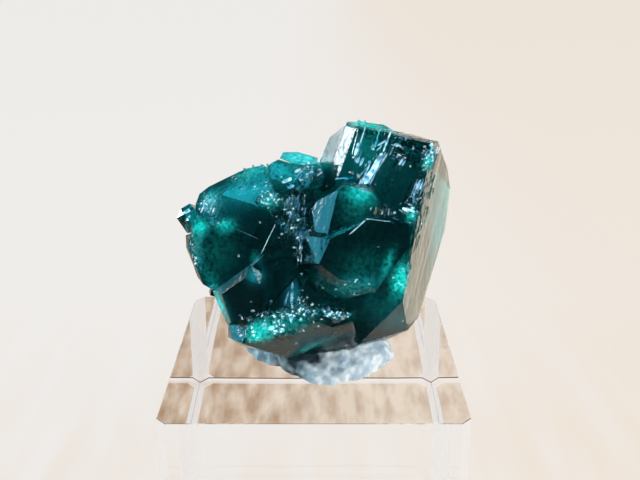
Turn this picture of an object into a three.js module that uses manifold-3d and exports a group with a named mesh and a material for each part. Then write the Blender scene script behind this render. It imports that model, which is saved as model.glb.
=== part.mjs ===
// Dioptase specimen: crystals grown together, pressed into white putty on a clear acrylic cube.
// Millimetres. +X is the specimen's right, +Y its back, +Z up, and Z = 0 is the underside of the cube.
import * as THREE from 'three';
import { ConvexGeometry } from 'three/addons/geometries/ConvexGeometry.js';
import { mergeVertices } from 'three/addons/utils/BufferGeometryUtils.js';
import Module from 'manifold-3d';

// Driving dimensions
const CUBE = { side: 20, cornerCut: 0.7 };
const CLUSTER = { backwardLean: 70.2, heart: [0.4, -1.7], heartAboveCube: 9.25 };
const PUTTY_GAP = 0.3;
const ROOT_DEPTH = 0.15; // how far a growth step's foot goes into the face that carries it

const wasm = await Module();
wasm.setup();

// A closed geometry as a solid that can be joined and cut
function solid(geometry) {
  const bare = geometry.clone();
  bare.deleteAttribute('normal');
  bare.deleteAttribute('uv');
  const merged = mergeVertices(bare, 1e-4);
  const triVerts = new Uint32Array(merged.index.array);
  const vertProperties = new Float32Array(merged.attributes.position.array);
  return new wasm.Manifold(new wasm.Mesh({ numProp: 3, vertProperties, triVerts }));
}

function geometryOf(joined) {
  const { vertProperties, triVerts } = joined.getMesh();
  const geometry = new THREE.BufferGeometry();
  geometry.setAttribute('position', new THREE.BufferAttribute(vertProperties, 3));
  geometry.setIndex(new THREE.BufferAttribute(triVerts, 1));
  return geometry;
}

// Repeatable random numbers from 0 to 1
function randomSource(seed) {
  let state = seed;
  return () => {
    state = (state * 1664525 + 1013904223) % 4294967296;
    return state / 4294967296;
  };
}

// The corners of one flat crystal face. The first three have a depth and set the plane, and each
// further corner has only its place across and up, and takes its depth from the plane.
function face(...list) {
  const [a, b, c] = list.slice(0, 3).map((corner) => new THREE.Vector3(...corner));
  const normal = b.clone().sub(a).cross(c.clone().sub(a));
  return list.map(([x, y, z]) => {
    const depth = z ?? a.z - (normal.x * (x - a.x) + normal.y * (y - a.y)) / normal.z;
    return new THREE.Vector3(x, y, depth);
  });
}

// Corners that belong to no face named above
function corners(...list) {
  return list.map((corner) => new THREE.Vector3(...corner));
}

// The long prism's broad front is named, because the growth steps stand on it too
const prismFront = [[2.5, 7.7, 0.55], [7.5, 6.45, 0.85], [5.7, -4.2, -0.75]];

// The crystals are laid out in the cluster's own frame, which leans back: x to the right, y up along the
// lean, z out of the front, from the cluster's heart. Each is the convex body on its corners.
const crystals = {
  longPrism: [
    // broad striated front, right side, narrow left side
    ...face(...prismFront, [1.1, 4], [3.95, -5.6], [2.65, -7.3], [-0.15, -1.5]),
    ...face([7.5, 6.45, 0.85], [5.7, -4.2, -0.75], [9.6, 3.7, -4.95], [8.05, 6.75], [9.2, 5.05], [9.35, 0.9],
      [7.2, -5.7]),
    ...face([1.8, 7.9, -0.5], [0.55, 3.85, -1.05], [0, 5.75, -3.25], [0.7, 7.3], [0.3, 4.35]),
    ...corners([6.3, -6.45, -3.35], [5.05, -7.05, -3.55], [3.05, -7.5, -2.9], [2.4, 8.1, -1.75]),
    ...corners([6.3, 7.5, -1.95], [2.25, 7.65, -2.5], [8.1, 6.4, -2.7], [1.9, 0, -6.5], [9, 0.35, -6.05]),
    ...corners([2.4, -6.2, -6.5], [6.6, -6.15, -5.95]),
  ],
  brokenRim: corners([2.15, 7.7, 0.5], [5, 7.15, 0.6], [5.35, 7.45, -0.45], [4.4, 7.95, -0.65], [2.75, 8.2, -0.65],
    [1.85, 8.1, -0.45], [1.75, 7.8, -0.2], [5.45, 7.4, -1.75], [2.1, 8, -1.95]),
  upperFront: [
    ...face([1.2, 3.35, 2.05], [0.45, 0.2, 2.4], [1.95, 0.15, 2.5], [1.7, 3.55], [3.4, 3], [3.65, 2.2], [3.4, 1.5]),
    ...face([1.2, 3.35, 2.05], [0.45, 0.2, 2.4], [-0.55, 2.1, 0.75], [-0.25, 2.55], [0.15, 0.15], [-0.35, 0.55]),
    ...corners([1.7, 4.05, 0.3], [3.7, 3.65, 0.2], [4.9, 1.9, -0.3], [-0.15, 3.1, -0.95], [-0.95, 1.75, -1.1]),
    ...corners([0, -0.7, 0], [3.4, -0.7, 0.2], [2.15, 1.8, -3.25]),
  ],
  bigFront: [
    ...face([0.65, 0.05, 3], [2.05, 0.7, 2.95], [3.65, -3.25, 2.6], [3.35, 1.4], [4.15, 1.4], [5.75, 1.1],
      [5.8, -0.4], [4.95, -1.5], [1.15, -2.45], [-0.05, -1.5]),
    ...corners([-1.05, 0.35, 1.3], [-1.45, -1.55, 1.1], [0.05, 0.15, 2.5], [3.45, 1.65, 2.45], [4.3, 1.55, 2.4]),
    ...corners([1.8, -3.75, 1.85], [-0.55, -4.05, 0.2], [1, -4.2, 0.55], [5.9, 0.9, -0.2], [5.6, -0.9, -0.55]),
    ...corners([3.7, -3.5, 0.65], [0.7, 0, -3.25], [5.5, 0, -3.25], [1.45, -4.3, -3.25], [3.9, -3.6, -3.25]),
  ],
  broadLeft: [
    ...face([-3.85, -0.8, 1.1], [-7.35, -3.4, -0.45], [-9.05, 0.3, -1.4], [-7.8, 0.85], [-5.75, 1.3], [-4.9, 0.6],
      [-3.45, 0.05], [-4.7, -1.7], [-8.5, -1.5], [-9.2, -0.55], [-8.05, -3.05]),
    ...corners([-4.2, 2.15, 0.45], [-3.3, 1.95, 0.55], [-2.9, 1.15, 0.85], [-5.4, 1.5, 0.2], [-9.5, 0.35, -2.4]),
    ...corners([-9.5, -0.5, -2.6], [-8.7, -2.55, -2.4], [-9.4, 0.35, -4.85], [-8.45, -3.25, -4.85]),
    ...corners([-4.15, 2, -3.25], [-2.85, 0, -3.25], [-4.1, -2.25, -2.7]),
  ],
  lowerLeft: [
    // the ledge along its top, then its front
    ...face([-7.35, -3.5, -0.45], [-4.65, -1.65, 1.25], [-4.95, -2.5, 1.85]),
    ...face([-4.95, -2.5, 1.85], [-3.95, -2.95, 2.05], [-4.9, -5.2, 1.4], [-6.55, -3.6], [-5.95, -5.45],
      [-3.5, -3.95], [-3.7, -4.7]),
    ...corners([-3.85, -2.15, 1.3], [-6.3, -5.8, -0.2], [-3.9, -5.15, 0.95], [-6.6, -4, -4.3]),
    ...corners([-5.7, -5.4, -4.3], [-4.15, -2.85, -3.25], [-3.75, -5, -3.25], [-6.6, -3.3, -4.3]),
  ],
  lowerMiddle: [
    ...face([-3.9, -1.9, 0.75], [-2.15, -1.55, 0.65], [-2.05, -3.9, 1.3], [-3.3, -4.25], [-4, -3.2]),
    ...corners([-1.55, -2.4, 0.85], [-4.2, -1.5, 0.2], [-2.05, -0.95, -0.2], [-1.2, -3.35, 0.65]),
    ...corners([-4.3, -2.15, -3.25], [-1.45, -1.45, -3.25], [-1.45, -4.3, -3.25], [-4.15, -4.65, -3.25]),
  ],
  hollow: [
    ...face([-3.45, 3.45, -0.95], [-0.4, 3.6, -0.85], [-1.2, -1.5, 0.1], [-4.1, -1.75], [-3, 0.95], [-0.35, 0.55]),
    ...corners([-4.05, 3.7, -4.85], [-0.15, 3.8, -4.3], [-0.75, -2.2, -4.3], [-4.75, -2.2, -4.3]),
  ],
  slopingTop: corners([-6.8, 3.15, -1.3], [-6, 1.3, -0.2], [-7.8, 0.85, -0.95], [-8.65, 1.25, -1.6],
    [-8.8, 2.55, -2.25], [-8.6, 3.3, -2.8], [-8, 3.8, -3], [-6.3, 4.6, -2.95], [-5.2, 5.15, -2.9],
    [-4.15, 5.35, -2.8], [-3.1, 4.9, -2.4], [-2.65, 3.45, -0.95], [-3.95, 2.25, 0.1], [-4.75, 1.95, 0],
    [-8.4, 2.95, -4.55], [-4.2, 4.95, -3.9], [-8.55, 1.1, -5.4], [-2.95, 1.85, -5.4]),
  farLeftTip: corners([-10.05, 1.55, -1.95], [-9.8, 2.2, -2.05], [-9.2, 2.6, -2.25], [-9.35, 0.5, -2.05],
    [-9.05, 1.3, -1.3], [-9.45, 1.8, -1.4], [-8.65, 2.1, -1.4], [-8.6, 0.55, -1.3], [-9.75, 1.7, -3.25],
    [-8.9, 2.5, -3.45], [-9.05, 0.6, -3.45]),
  topLeftKnob: corners([-3.45, 4.3, -0.85], [-3.45, 5.4, -1.95], [-1.95, 5.3, -1.4], [-1.85, 3.7, -0.45],
    [-2.65, 3.35, -0.45], [-3.7, 5.2, -2.05], [-2.95, 5.7, -2.25], [-3.75, 4.9, -3.55], [-2.15, 5.6, -3.25],
    [-2.2, 3.3, -4.3]),
  topRightKnob: corners([-1.9, 5.35, -1.3], [-0.15, 5.45, -1.4], [0.3, 4.4, -0.95], [-0.8, 3.6, -0.1],
    [-1.55, 3.4, -0.3], [-1.9, 4, -0.55], [0.15, 5.2, -1.95], [-1.8, 5.75, -3.35], [0, 5.6, -3.25],
    [0.15, 3.6, -3.25]),
  topSliver: corners([-2.8, 5.7, -1.4], [-2.6, 6.2, -2.05], [-1.6, 6.25, -2.25], [-0.15, 5.8, -2.05],
    [-0.2, 5.3, -1.2], [-1.25, 5.2, -0.95], [-2.1, 5.4, -1.1], [-2.6, 6.1, -3.1], [-0.2, 5.7, -3.1]),
  bottomLeft: [
    // the pale side turned left, then the underside turned down
    ...face([-6.2, -5.7, 0], [-4.85, -5.2, 1.1], [-5.2, -6.9, 1.25], [-5.95, -6.65], [-4.85, -6.05]),
    ...face([-1.5, -5.6, 1.75], [0.8, -5.8, 1.2], [-2.05, -8.15, -0.95], [-0.2, -5.4], [0.7, -6.55],
      [-1.1, -7.75]),
    ...corners([-6.35, -5.85, -0.75], [-6.3, -6.65, -0.65], [-3.3, -4.35, 1.5], [-1.3, -4.35, 1.6]),
    ...corners([0.15, -5.2, 1.4], [-3.1, -7.9, -0.95], [-4, -7.6, -0.85], [-4.8, -7.4, -0.55], [-5.6, -7.15, -0.55]),
    ...corners([-6.2, -6.55, -4.3], [-1.45, -7.25, -3.9], [0.75, -6.7, -5.4], [-3.6, -4.3, -3.25], [0, -4.65, -3.25]),
  ],
  splinter: corners([-1.55, -2.45, 1.5], [-2.05, -3.9, 1.95], [-1.4, -3.95, 2.15], [-1.3, -4.35, 2.05],
    [-3.3, -4.4, 1.75], [-3.45, -4.8, 1.75], [-1.5, -4.7, 2.05], [-2.4, -4.3, 0], [-1.2, -3.05, 0.3],
    [-2.05, -3.05, 0.3]),
  smallSplinter: corners([-1.4, -2.2, 1.3], [-0.65, -2.2, 1.2], [-1.1, -3.05, 1.75], [-1.05, -2, 0.95],
    [-0.95, -2.55, -0.55], [-1.3, -2.2, -0.55]),
  brightChip: corners([0.15, -4.35, 1.6], [0.55, -4.25, 1.5], [1.05, -4.3, 1.5], [1.45, -4.6, 1.75],
    [1.2, -4.95, 1.95], [0.55, -4.95, 1.95], [0.2, -4.7, 1.85], [2.1, -4.9, 1.4], [1.5, -5.15, 1.6],
    [1.2, -5.6, 0.95], [0.85, -5.55, 1.1], [0.7, -4.8, -2.15], [1.95, -5.3, -2.15]),
  bottomShard: corners([1.55, -5.4, 0.65], [2.2, -5.5, 0.65], [2.3, -7.35, -1.3], [0.95, -6.6, 0],
    [0.85, -5.85, 0.65], [1.85, -7.95, -2.15], [2.85, -7.65, -2.6], [-1.2, -8.1, -1.75], [1.45, -6.55, -4.3],
    [2.55, -6.95, -3.9], [-1.1, -7.4, -3.9]),
  upperMass: corners([-8.9, 1.7, -2.15], [-7.9, 3.35, -3.25], [-4.15, 5, -3.25], [-2, 5.6, -2.6], [0.15, 5.3, -2.5],
    [0, 2.45, -1.6], [-2.9, 2.4, -1.1], [-4, 1.05, -1.1], [-8.05, 0.35, -1.85], [-8.95, 0.15, -2.25],
    [-3.5, 3.85, -1.6], [-8.8, 2.55, -4.75], [-4.25, 4.4, -4.55], [-0.15, 4.7, -3.65], [-0.15, 0.75, -5.95],
    [-9, -0.35, -5.95]),
  middleMass: corners([-2.25, -1.45, 0.95], [1.35, -2.7, 0.65], [1.7, -5.25, 0.45], [0.65, -5.8, 0.45],
    [-2.25, -4.3, 1.4], [-4.35, -2.7, 0.65], [-1.35, -0.7, 0.3], [-4.65, -2.15, -3.25], [1.8, -1.45, -3.25],
    [1.8, -5.75, -3.25], [-4.3, -5.4, -3.25]),
  core: corners([-6.15, 1.65, -1.5], [-0.15, 3.5, -1.75], [4.9, 1.4, -1.95], [5.15, -5.15, -2.8],
    [1.8, -7.55, -3.45], [-5.5, -6.95, -2.4], [-7.7, -2.5, -2.7], [-7, 2.6, -5.2], [-0.75, 3.95, -4.3],
    [4.8, 2.95, -5.2], [5.15, -5.15, -6.5], [-1.5, -6.6, -6.05], [-5.8, -6.1, -5.6], [-8.1, -1.85, -5.95]),
};

// Growth steps on the long prism's front: from, to, and how far each stands out
const growthSteps = [
  [[2.5, 7.55], [2, 5.6], 0.2], [[3.65, 7.35], [3.25, 6.2], 0.12], [[4.3, 7.35], [3.85, 6.05], 0.22],
  [[3.9, 6.05], [2.7, 3.55], 0.34], [[3.1, 5.2], [2.35, 3.55], 0.24], [[4.65, 6.4], [4.4, 5.7], 0.12],
  [[5.3, 5.7], [4.9, 4.9], 0.18], [[6.15, 4.05], [5.65, 2.7], 0.22], [[7.2, 6.05], [6.85, 4.9], 0.16],
  [[6.4, 3.4], [6.15, 1.7], 0.14],
];
const STEP = { sideRun: 0.67, runOut: 5 }; // both as multiples of how far the step stands out

// A long low wedge on the long prism's front, steep on its left side
function growthStep(from, to, rise) {
  const [a, b, c, start, end] = face(...prismFront, from, to);
  const normal = c.clone().sub(a).cross(b.clone().sub(a)).normalize();
  const across = normal.clone().cross(start.clone().sub(end)).normalize().negate();
  return [start, end].flatMap((foot) => [
    foot.clone().addScaledVector(normal, -ROOT_DEPTH),
    foot.clone(),
    foot.clone().addScaledVector(across, STEP.sideRun * rise).addScaledVector(normal, rise),
    foot.clone().addScaledVector(across, STEP.runOut * rise).addScaledVector(normal, -ROOT_DEPTH),
  ]);
}

// A six-sided prism with a pointed end, its axis turned from straight up by tilt degrees to the right
// and by nod degrees towards the front
function smallPrism({ at, radius, length, tilt = 18, nod = 0, spin = 0 }) {
  const turn = new THREE.Euler(
    THREE.MathUtils.degToRad(nod), THREE.MathUtils.degToRad(spin), THREE.MathUtils.degToRad(-tilt), 'ZXY');
  const pose = new THREE.Matrix4().makeRotationFromEuler(turn);
  const points = [new THREE.Vector3(0, length / 2, 0)];
  for (let side = 0; side < 6; side += 1) {
    const angle = side * Math.PI / 3;
    const shoulder = length / 2 - radius * (side % 2 ? 0.85 : 0.5);
    points.push(new THREE.Vector3(radius * Math.sin(angle), shoulder, radius * Math.cos(angle)));
    points.push(new THREE.Vector3(radius * Math.sin(angle), -length / 2, radius * Math.cos(angle)));
  }
  return points.map((point) => point.applyMatrix4(pose).add(new THREE.Vector3(...at)));
}

// Prisms that stand out of the back and the sides
const backPrisms = [
  { at: [-5.8, -1.6, -5.2], radius: 2.1, length: 5.6, tilt: 12, spin: 10 },
  { at: [-1.7, 0.9, -5.1], radius: 2, length: 6.4, tilt: 20, nod: -8, spin: 25 },
  { at: [3.6, -1.8, -6], radius: 2.3, length: 7.4, tilt: 16, nod: -4, spin: 5 },
  { at: [-2, -4.1, -5.6], radius: 1.7, length: 3.8, tilt: -14, spin: 20 },
  { at: [-7.9, 1, -4.4], radius: 1.2, length: 3.2, tilt: 26 },
  { at: [5.7, -3.6, -5.6], radius: 1.4, length: 3.8, tilt: 14, spin: 12 },
  { at: [-3.9, 3.2, -4.6], radius: 1.2, length: 3.6, tilt: 8, nod: -14, spin: 40 },
];

// Thin upright columns that fill the hollow
function columnsInTheHollow(count) {
  const random = randomSource(7);
  return Array.from({ length: count }, () => {
    const y = THREE.MathUtils.lerp(-1, 3.2, random());
    const x = THREE.MathUtils.lerp(-3.2, -0.75, random()) + 0.12 * y;
    const z = -0.2 - 0.2 * y + THREE.MathUtils.lerp(-0.1, 0.15, random());
    const radius = THREE.MathUtils.lerp(0.2, 0.45, random());
    return smallPrism({ at: [x, y - 0.3, z], radius, length: 3.4 * radius + random(), spin: 60 * random() });
  });
}

// A crust of small crystals over a patch: its middle, half its width and height, the slope of the ground
function crust({ count, seed, middle, half, slopeX = 0, slopeY = 0, size }) {
  const random = randomSource(seed);
  return Array.from({ length: count }, () => {
    const angle = 2 * Math.PI * random();
    const reach = Math.sqrt(random());
    const dx = half[0] * reach * Math.cos(angle);
    const dy = half[1] * reach * Math.sin(angle);
    const radius = THREE.MathUtils.lerp(0.5, 1, random()) * size;
    const at = [middle[0] + dx, middle[1] + dy, middle[2] + slopeX * dx + slopeY * dy];
    const nod = THREE.MathUtils.lerp(50, 110, random());
    return smallPrism({ at, radius, length: 3 * radius, tilt: THREE.MathUtils.lerp(-40, 40, random()), nod });
  });
}

const crusts = [
  { count: 34, seed: 3, middle: [-3, -5.6, 1.15], half: [1.6, 0.95], slopeX: 0.15, slopeY: 0.25, size: 0.28 },
  { count: 14, seed: 11, middle: [-0.7, -5, 1.5], half: [0.95, 0.45], slopeX: -0.15, slopeY: 0.1, size: 0.21 },
  { count: 9, seed: 19, middle: [-3.6, 2.65, -0.3], half: [0.6, 0.5], slopeY: -0.6, size: 0.23 },
  { count: 7, seed: 23, middle: [-8.5, 1.25, -1.45], half: [0.5, 0.5], slopeX: 0.5, size: 0.23 },
  { count: 8, seed: 29, middle: [5.45, -2.9, -0.5], half: [0.4, 0.9], slopeY: 0.15, size: 0.21 },
];

const allCrystals = [
  ...Object.values(crystals),
  ...growthSteps.map((step) => growthStep(...step)),
  ...backPrisms.map(smallPrism),
  ...columnsInTheHollow(16),
  ...crusts.flatMap(crust),
];

// All the crystals in one solid, without the sealed gaps that are left between them
function clusterSolid() {
  const joined = allCrystals.map((points) => solid(new ConvexGeometry(points))).reduce((all, one) => all.add(one));
  return joined.decompose().reduce((largest, one) => (one.volume() > largest.volume() ? one : largest));
}

// Putty: lumps pressed together, each a low dome on the cube: x, y, half width, half depth, height
const puttyLumps = [
  [0.2, 0.9, 4.8, 3.7, 1.9], [-3.3, 1, 1.9, 2.2, 2.5], [-1.9, -1.4, 1.8, 1.9, 2.3], [0.4, -3, 1.9, 1.9, 1.6],
  [2.6, -2.5, 1.9, 1.8, 1.9], [4.2, -0.5, 1.6, 1.8, 2.1], [5.6, 0.2, 0.5, 0.6, 1], [-1, 3.2, 2.3, 1.6, 2.4],
  [2.3, 3, 2.2, 1.7, 2.2],
];
const DOME = { around: 20, up: 8, squareness: 0.55 };

// A dome with steep sides, a rounded top and a flat foot
function puttyLump([x, y, halfWidth, halfDepth, height]) {
  const points = [];
  for (let ring = 0; ring <= DOME.up; ring += 1) {
    const climb = ring / DOME.up * Math.PI / 2;
    const shrink = Math.cos(climb) ** DOME.squareness;
    for (let step = 0; step < DOME.around; step += 1) {
      const turn = 2 * Math.PI * step / DOME.around;
      const wave = 1 + 0.05 * Math.sin(3 * turn + 2 * x) + 0.03 * Math.sin(5 * turn + y);
      points.push(new THREE.Vector3(
        x + halfWidth * shrink * wave * Math.cos(turn), y + halfDepth * shrink * wave * Math.sin(turn),
        CUBE.side + height * Math.sin(climb)));
    }
  }
  return solid(new ConvexGeometry(points));
}

// A crystal with its corners moved out from its middle, so that each face moves by the gap or more
function grownCrystal(points, cluster) {
  const middle = points.reduce((sum, point) => sum.add(point), new THREE.Vector3()).divideScalar(points.length);
  const grown = points.map((point) => {
    const outward = point.clone().sub(middle).normalize();
    return point.clone().addScaledVector(outward, 1.8 * PUTTY_GAP).applyMatrix4(cluster.matrixWorld);
  });
  return solid(new ConvexGeometry(grown));
}

function puttySolid(cluster) {
  const pad = puttyLumps.map(puttyLump).reduce((all, lump) => all.add(lump));
  const pressedIn = [crystals.longPrism, crystals.bottomLeft, crystals.bottomShard, crystals.core,
    crystals.middleMass, crystals.lowerLeft, ...backPrisms.map(smallPrism)];
  return pressedIn.reduce((rest, points) => rest.subtract(grownCrystal(points, cluster)), pad);
}

// The cube, with its four upright corners cut
function cubeGeometry() {
  const far = CUBE.side / 2;
  const near = far - CUBE.cornerCut;
  const outline = new THREE.Shape([
    [near, -far], [far, -near], [far, near], [near, far], [-near, far], [-far, near], [-far, -near], [-near, -far],
  ].map(([x, y]) => new THREE.Vector2(x, y)));
  return new THREE.ExtrudeGeometry(outline, { depth: CUBE.side, bevelEnabled: false });
}

function named(name, geometry, look) {
  const mesh = new THREE.Mesh(geometry, new THREE.MeshStandardMaterial(look));
  mesh.name = name;
  return mesh;
}

const specimen = new THREE.Group();

const cluster = named('dioptase_cluster', geometryOf(clusterSolid()),
  { color: '#0a6a66', roughness: 0.15, metalness: 0 });
cluster.rotation.x = THREE.MathUtils.degToRad(CLUSTER.backwardLean);
cluster.position.set(...CLUSTER.heart, CUBE.side + CLUSTER.heartAboveCube);
cluster.updateMatrixWorld(true);
specimen.add(cluster);

specimen.add(named('mineral_putty', geometryOf(puttySolid(cluster)),
  { color: '#e4ebee', roughness: 0.8, metalness: 0 }));

specimen.add(named('acrylic_cube', cubeGeometry(),
  { color: '#f4f1ec', roughness: 0.02, metalness: 0, transparent: true, opacity: 0.35 }));

export default specimen;
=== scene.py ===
# %% [markdown]
# A dioptase specimen on its display stand: a thumbnail-sized cluster of deep green crystals, held by
# white putty on a clear acrylic cube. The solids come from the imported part. This notebook dresses them:
# first the camera and the light, then the crystals, the putty and the cube, each with its own finish.

import itertools
import math

import bmesh
import bpy
import numpy as np
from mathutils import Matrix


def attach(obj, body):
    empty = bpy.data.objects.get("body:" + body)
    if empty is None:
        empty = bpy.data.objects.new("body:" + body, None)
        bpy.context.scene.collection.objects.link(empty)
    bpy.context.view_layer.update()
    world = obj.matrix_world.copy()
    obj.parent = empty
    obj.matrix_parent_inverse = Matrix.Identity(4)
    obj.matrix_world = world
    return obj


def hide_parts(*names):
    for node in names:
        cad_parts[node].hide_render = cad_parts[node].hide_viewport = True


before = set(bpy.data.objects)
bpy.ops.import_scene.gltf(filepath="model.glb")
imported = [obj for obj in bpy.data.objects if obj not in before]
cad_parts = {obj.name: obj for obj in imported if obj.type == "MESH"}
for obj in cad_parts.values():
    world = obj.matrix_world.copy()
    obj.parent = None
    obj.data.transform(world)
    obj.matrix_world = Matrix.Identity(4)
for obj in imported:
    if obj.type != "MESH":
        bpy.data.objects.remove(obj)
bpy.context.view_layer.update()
MM = 0.001
for name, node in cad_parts.items():
    print(name, len(node.data.polygons), "triangles")

# %% [markdown]
# The camera looks down on the specimen by about 20 degrees, from 6 cm away. Its lens is worked out from
# the photograph's perspective: the cube's top, 20 mm wide at the front edge, narrows by a fifth towards
# the back, and only one focal length gives that at this size.

# %% The camera
PHOTO_WIDTH = 640
FOCAL_PIXELS = 868
SENSOR_MM = 36.0
LOOK_DOWN = 19.8
CAMERA_MM = (0.4, -57.23, 49.26)

camera_data = bpy.data.cameras.new("camera")
camera_data.sensor_width = SENSOR_MM
camera_data.lens = FOCAL_PIXELS / PHOTO_WIDTH * SENSOR_MM
camera_data.clip_start = 0.001
camera = bpy.data.objects.new("camera", camera_data)
camera.location = [MM * value for value in CAMERA_MM]
camera.rotation_euler = (math.radians(90 - LOOK_DOWN), 0, 0)
bpy.context.scene.collection.objects.link(camera)
bpy.context.scene.camera = camera
print("lens", round(camera_data.lens, 1), "mm")

# %% [markdown]
# Every material below is built from nodes. Colours are written as the sRGB hex values that a picture
# editor shows, and one function turns them into the linear light that a shader works with. One more
# function adds a node, sets its properties and fills or links its inputs.

# %% Two helpers for materials
def linear(hex_colour):
    """sRGB hex to linear RGBA: value/12.92 below 0.04045, else ((value + 0.055)/1.055) to the power 2.4."""
    values = np.array([int(hex_colour[i:i + 2], 16) for i in (1, 3, 5)]) / 255
    low = values / 12.92
    high = ((values + 0.055) / 1.055) ** 2.4
    return (*np.where(values <= 0.04045, low, high), 1.0)


def add(tree, kind, inputs=None, **settings):
    """Adds a shader node. inputs maps a socket's name or number to a value, or to an output to link. A node
    given there stands for its first output."""
    node = tree.nodes.new("ShaderNode" + kind)
    for setting, value in settings.items():
        setattr(node, setting, value)
    for socket, value in (inputs or {}).items():
        if isinstance(value, bpy.types.Node):
            value = value.outputs[0]
        if isinstance(value, bpy.types.NodeSocket):
            tree.links.new(value, node.inputs[socket])
        else:
            node.inputs[socket].default_value = value
    return node


def new_material(name):
    """An empty node material and its tree."""
    material = bpy.data.materials.new(name)
    material.use_nodes = True
    material.node_tree.nodes.clear()
    return material, material.node_tree


def scale_of(size_mm):
    """The Scale of a pattern on Object coordinates, in metres, whose features are about size_mm wide."""
    return 1 / (size_mm * MM)


# %% [markdown]
# The light comes from a window behind and to the left, as bluish sky, and from a bright table. Polished
# crystal faces are mirrors, so what matters most is which direction holds what: a bright window for the
# prism's narrow side face, cool sky higher up and to the left, and darkness behind the camera, where the
# broad front faces look. A world made of soft round patches of light gives each direction its own
# radiance. Only the pale backdrop shows where the surroundings are looked at directly or through the
# clear cube.

# %% The surroundings that the crystals mirror
SKY_PATCHES = [
    # azimuth from +Y towards +X, elevation, full inside, gone outside (degrees), radiance
    (-57, 9, 6, 13, (12.0, 13.5, 14.5)),  # window, upright and narrow
    (-84, 13, 12, 23, (0.3, 2.5, 3.5)),  # sky beside the window
    (-44, 1, 5, 11, (1.0, 1.3, 1.3)),  # bright wall below the window
    (-38, 66, 14, 26, (0.1, 2.6, 3.3)),  # sky overhead, behind
    (10, 2, 14, 30, (0.9, 0.88, 0.82)),  # bright room far behind
    (80, 25, 15, 40, (0.3, 0.28, 0.25)),  # dim room at the right
]
ROOM_DARK = (0.012, 0.018, 0.02)
BACKDROP = linear("#efede9")


def toward(azimuth, elevation):
    """Unit vector for an azimuth from +Y towards +X and an elevation above the horizon, in degrees."""
    a, e = math.radians(azimuth), math.radians(elevation)
    return (math.sin(a) * math.cos(e), math.cos(a) * math.cos(e), math.sin(e))


world = bpy.data.worlds.new("studio")
bpy.context.scene.world = world
world.use_nodes = True
sky = world.node_tree
sky.nodes.clear()
direction = add(sky, "TexCoord").outputs["Generated"]
light = (*ROOM_DARK, 1)
for azimuth, elevation, inner, outer, radiance in SKY_PATCHES:
    along = add(sky, "VectorMath", {
        0: direction, 1: toward(azimuth, elevation)}, operation="DOT_PRODUCT")
    patch = add(sky, "MapRange", {
        "Value": along.outputs["Value"],
        "From Min": math.cos(math.radians(outer)),
        "From Max": math.cos(math.radians(inner)),
    }, interpolation_type="SMOOTHSTEP")
    light = add(sky, "Mix", {
        "Factor": patch.outputs["Result"], 6: light, 7: (*radiance, 1),
    }, data_type="RGBA", blend_type="ADD", clamp_factor=False).outputs[2]
lit = add(sky, "Background", {"Color": light, "Strength": 1.0})
seen = add(sky, "Background", {"Color": BACKDROP, "Strength": 1.0})
ray = add(sky, "LightPath")
through = add(sky, "Math", {
    0: ray.outputs["Is Camera Ray"], 1: ray.outputs["Is Transmission Ray"]}, operation="MAXIMUM")
mixed = add(sky, "MixShader", {0: through, 1: lit, 2: seen})
add(sky, "OutputWorld", {"Surface": mixed})
print(len(SKY_PATCHES), "patches of light in the world")

# %% [markdown]
# The floor is a pale table, overexposed, as the photograph's is. It could be a lit matt sheet, but a
# crystal face mirrors the real table stronger than the picture can show, and under the cube, where less
# light gets in, its tan comes through. So it gives its light itself: one light for the eye and another
# for what it lights. Its sheet comes first.

# %% The floor's sheet
FLOOR_SIZE_MM = 3000
FLOOR_DROP_MM = 0.03

reach = FLOOR_SIZE_MM * MM / 2
drop = -FLOOR_DROP_MM * MM
floor_mesh = bpy.data.meshes.new("floor")
floor_mesh.from_pydata(
    [(-reach, -reach, drop), (reach, -reach, drop), (reach, reach, drop), (-reach, reach, drop)],
    [], [(0, 1, 2, 3)])
floor = bpy.data.objects.new("floor", floor_mesh)
bpy.context.scene.collection.objects.link(floor)
print("floor", FLOOR_SIZE_MM, "mm square")

# %% [markdown]
# What the eye sees of the table is cream, a little warmer at the right and where its grain shows. Under the
# cube, where less light gets in, it is painted in shade: the table's own brownish colour, darker, with
# paler flecks, more of them towards the right. The two meet at the cube's outline.

# %% The table as it is looked at
CUBE_MM = 20.0
FLOOR_CREAM = "#f0ece9"
FLOOR_WARM = "#efe1d2"
# the table under the cube: its own brownish colour, painted darker as shade, and paler flecks in it
FLOOR_SHADED_UNDER = "#ae8a68"
FLOOR_SHADED_UNDER_PALE = "#e9d8c5"
GRAIN_MM = 4
GRAIN_STRETCH = 0.14
FLECK_MM = 1.3
FLECK_STRETCH = 0.3

floor_material, tree = new_material("pale_table")
place = add(tree, "TexCoord").outputs["Object"]
apart = add(tree, "SeparateXYZ", {0: place})
stretched = add(tree, "Mapping", {"Vector": place, "Scale": (1, GRAIN_STRETCH, 1)})
grain = add(tree, "TexNoise", {"Vector": stretched, "Scale": scale_of(GRAIN_MM), "Detail": 2})
soft_grain = add(tree, "MapRange", {"Value": grain.outputs["Fac"], "From Min": 0.35, "From Max": 0.65})
nearby = add(tree, "MapRange", {
    "Value": apart.outputs["Y"], "From Min": 55 * MM, "From Max": 15 * MM, "To Max": 0.5})
grain_here = add(tree, "Math", {0: soft_grain, 1: nearby}, operation="MULTIPLY")
to_the_right = add(tree, "MapRange", {
    "Value": apart.outputs["X"], "From Min": -25 * MM, "From Max": 60 * MM, "To Max": 0.7},
    interpolation_type="SMOOTHSTEP")
warmth = add(tree, "Math", {0: grain_here, 1: to_the_right}, operation="ADD", use_clamp=True)
cream = add(tree, "Mix", {
    "Factor": warmth, 6: linear(FLOOR_CREAM), 7: linear(FLOOR_WARM)}, data_type="RGBA")

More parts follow.
